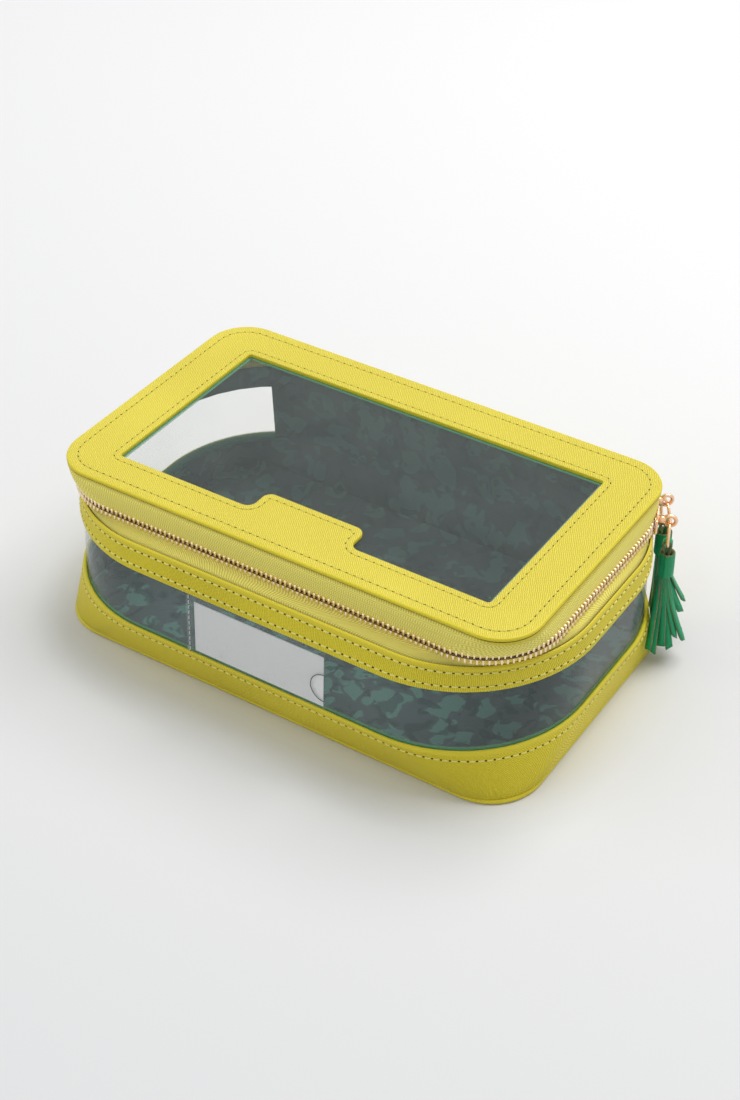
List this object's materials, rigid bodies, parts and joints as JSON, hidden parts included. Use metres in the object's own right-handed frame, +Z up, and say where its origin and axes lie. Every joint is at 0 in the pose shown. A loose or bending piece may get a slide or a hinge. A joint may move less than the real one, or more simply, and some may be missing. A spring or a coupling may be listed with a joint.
{
  "type": "domino carrying case",
  "caption": "Zip-round domino carrying case with clear vinyl walls, grained leather bands, a windowed hinged lid, a label pocket and tasselled sliders.",
  "frame": {"origin": "middle of the flat underside that the case stands on", "axes": "+X along the length towards the end where the sliders park, +Y to the hinged back, +Z up"},
  "size_m": [0.2369, 0.1554, 0.08],
  "materials": {
    "saffiano_leather": "cross-grained satin",
    "board": "matt",
    "printed_lining": "printed cotton",
    "clear_vinyl": "clear gloss",
    "card": "matt",
    "rose_gold": "polished rose gold plate",
    "woven_tape": "woven",
    "tassel_leather": "cross-grained satin"
  },
  "bodies": {
    "case": {"bottom_panel": "saffiano_leather", "base_band": "saffiano_leather", "bottom_board": "board", "bottom_lining": "printed_lining", "upper_band": "saffiano_leather", "clear_wall": "clear_vinyl", "upper_band_lining": "printed_lining", "back_panel": "saffiano_leather", "back_board": "board", "back_lining": "printed_lining", "back_seam_bindings": "saffiano_leather", "label_pocket": "clear_vinyl", "lower_teeth": "rose_gold", "lower_teeth_corner": "rose_gold", "chain_end_stops": "rose_gold", "lower_zipper_tape": "woven_tape"},
    "lid": {"lid_frame": "saffiano_leather", "lid_window": "clear_vinyl", "lid_board": "board", "lid_lining": "printed_lining", "lid_edge_binding": "saffiano_leather", "upper_zipper_tape": "woven_tape", "hinge_strip": "saffiano_leather", "upper_teeth": "rose_gold", "upper_teeth_corner": "rose_gold"},
    "label_card": {"label_card": "card"},
    "front_slider": {"front_slider": "rose_gold"},
    "front_ring": {"front_ring": "rose_gold"},
    "front_tassel": {"front_tassel_loop": "tassel_leather", "front_tassel_cap": "tassel_leather", "front_tassel_strips": "tassel_leather"},
    "rear_slider": {"rear_slider": "rose_gold"},
    "rear_ring": {"rear_ring": "rose_gold"},
    "rear_tassel": {"rear_tassel_loop": "tassel_leather", "rear_tassel_cap": "tassel_leather", "rear_tassel_strips": "tassel_leather"}
  },
  "joints": [
    {"name": "lid_hinge", "type": "hinge", "parent": "case", "child": "lid", "pos_m": [0, 0.0727, 0.0655], "axis": [-1, 0, 0], "range_deg": [0, 110]},
    {"name": "front_slider_travel", "type": "hinge", "parent": "case", "child": "front_slider", "pos_m": [0.0773, 0.0336, 0.068], "axis": [0, 0, 1], "range_deg": [-12, 0], "deforming": ["lower_teeth_corner", "upper_teeth_corner"]},
    {"name": "rear_slider_travel", "type": "hinge", "parent": "case", "child": "rear_slider", "pos_m": [0.0773, 0.0336, 0.068], "axis": [0, 0, 1], "range_deg": [0, 23]},
    {"name": "front_ring_swing", "type": "hinge", "parent": "front_slider", "child": "front_ring", "pos_m": [0.11383, 0.04836, 0.0679], "axis": [0.3746, -0.9272, 0], "range_deg": [0, 70]},
    {"name": "rear_ring_swing", "type": "hinge", "parent": "rear_slider", "child": "rear_ring", "pos_m": [0.10658, 0.05996, 0.0679], "axis": [0.6691, -0.7431, 0], "range_deg": [0, 70]},
    {"name": "front_tassel_swing", "type": "hinge", "parent": "front_ring", "child": "front_tassel", "pos_m": [0.11383, 0.04836, 0.06245], "axis": [0.9272, 0.3746, 0], "range_deg": [-35, 5]},
    {"name": "rear_tassel_swing", "type": "hinge", "parent": "rear_ring", "child": "rear_tassel", "pos_m": [0.10658, 0.05996, 0.06245], "axis": [0.7431, 0.6691, 0], "range_deg": [-5, 35]},
    {"name": "label_card_slide", "type": "slide", "parent": "case", "child": "label_card", "axis": [1, 0, 0], "range_m": [0, 0.062]}
  ]
}
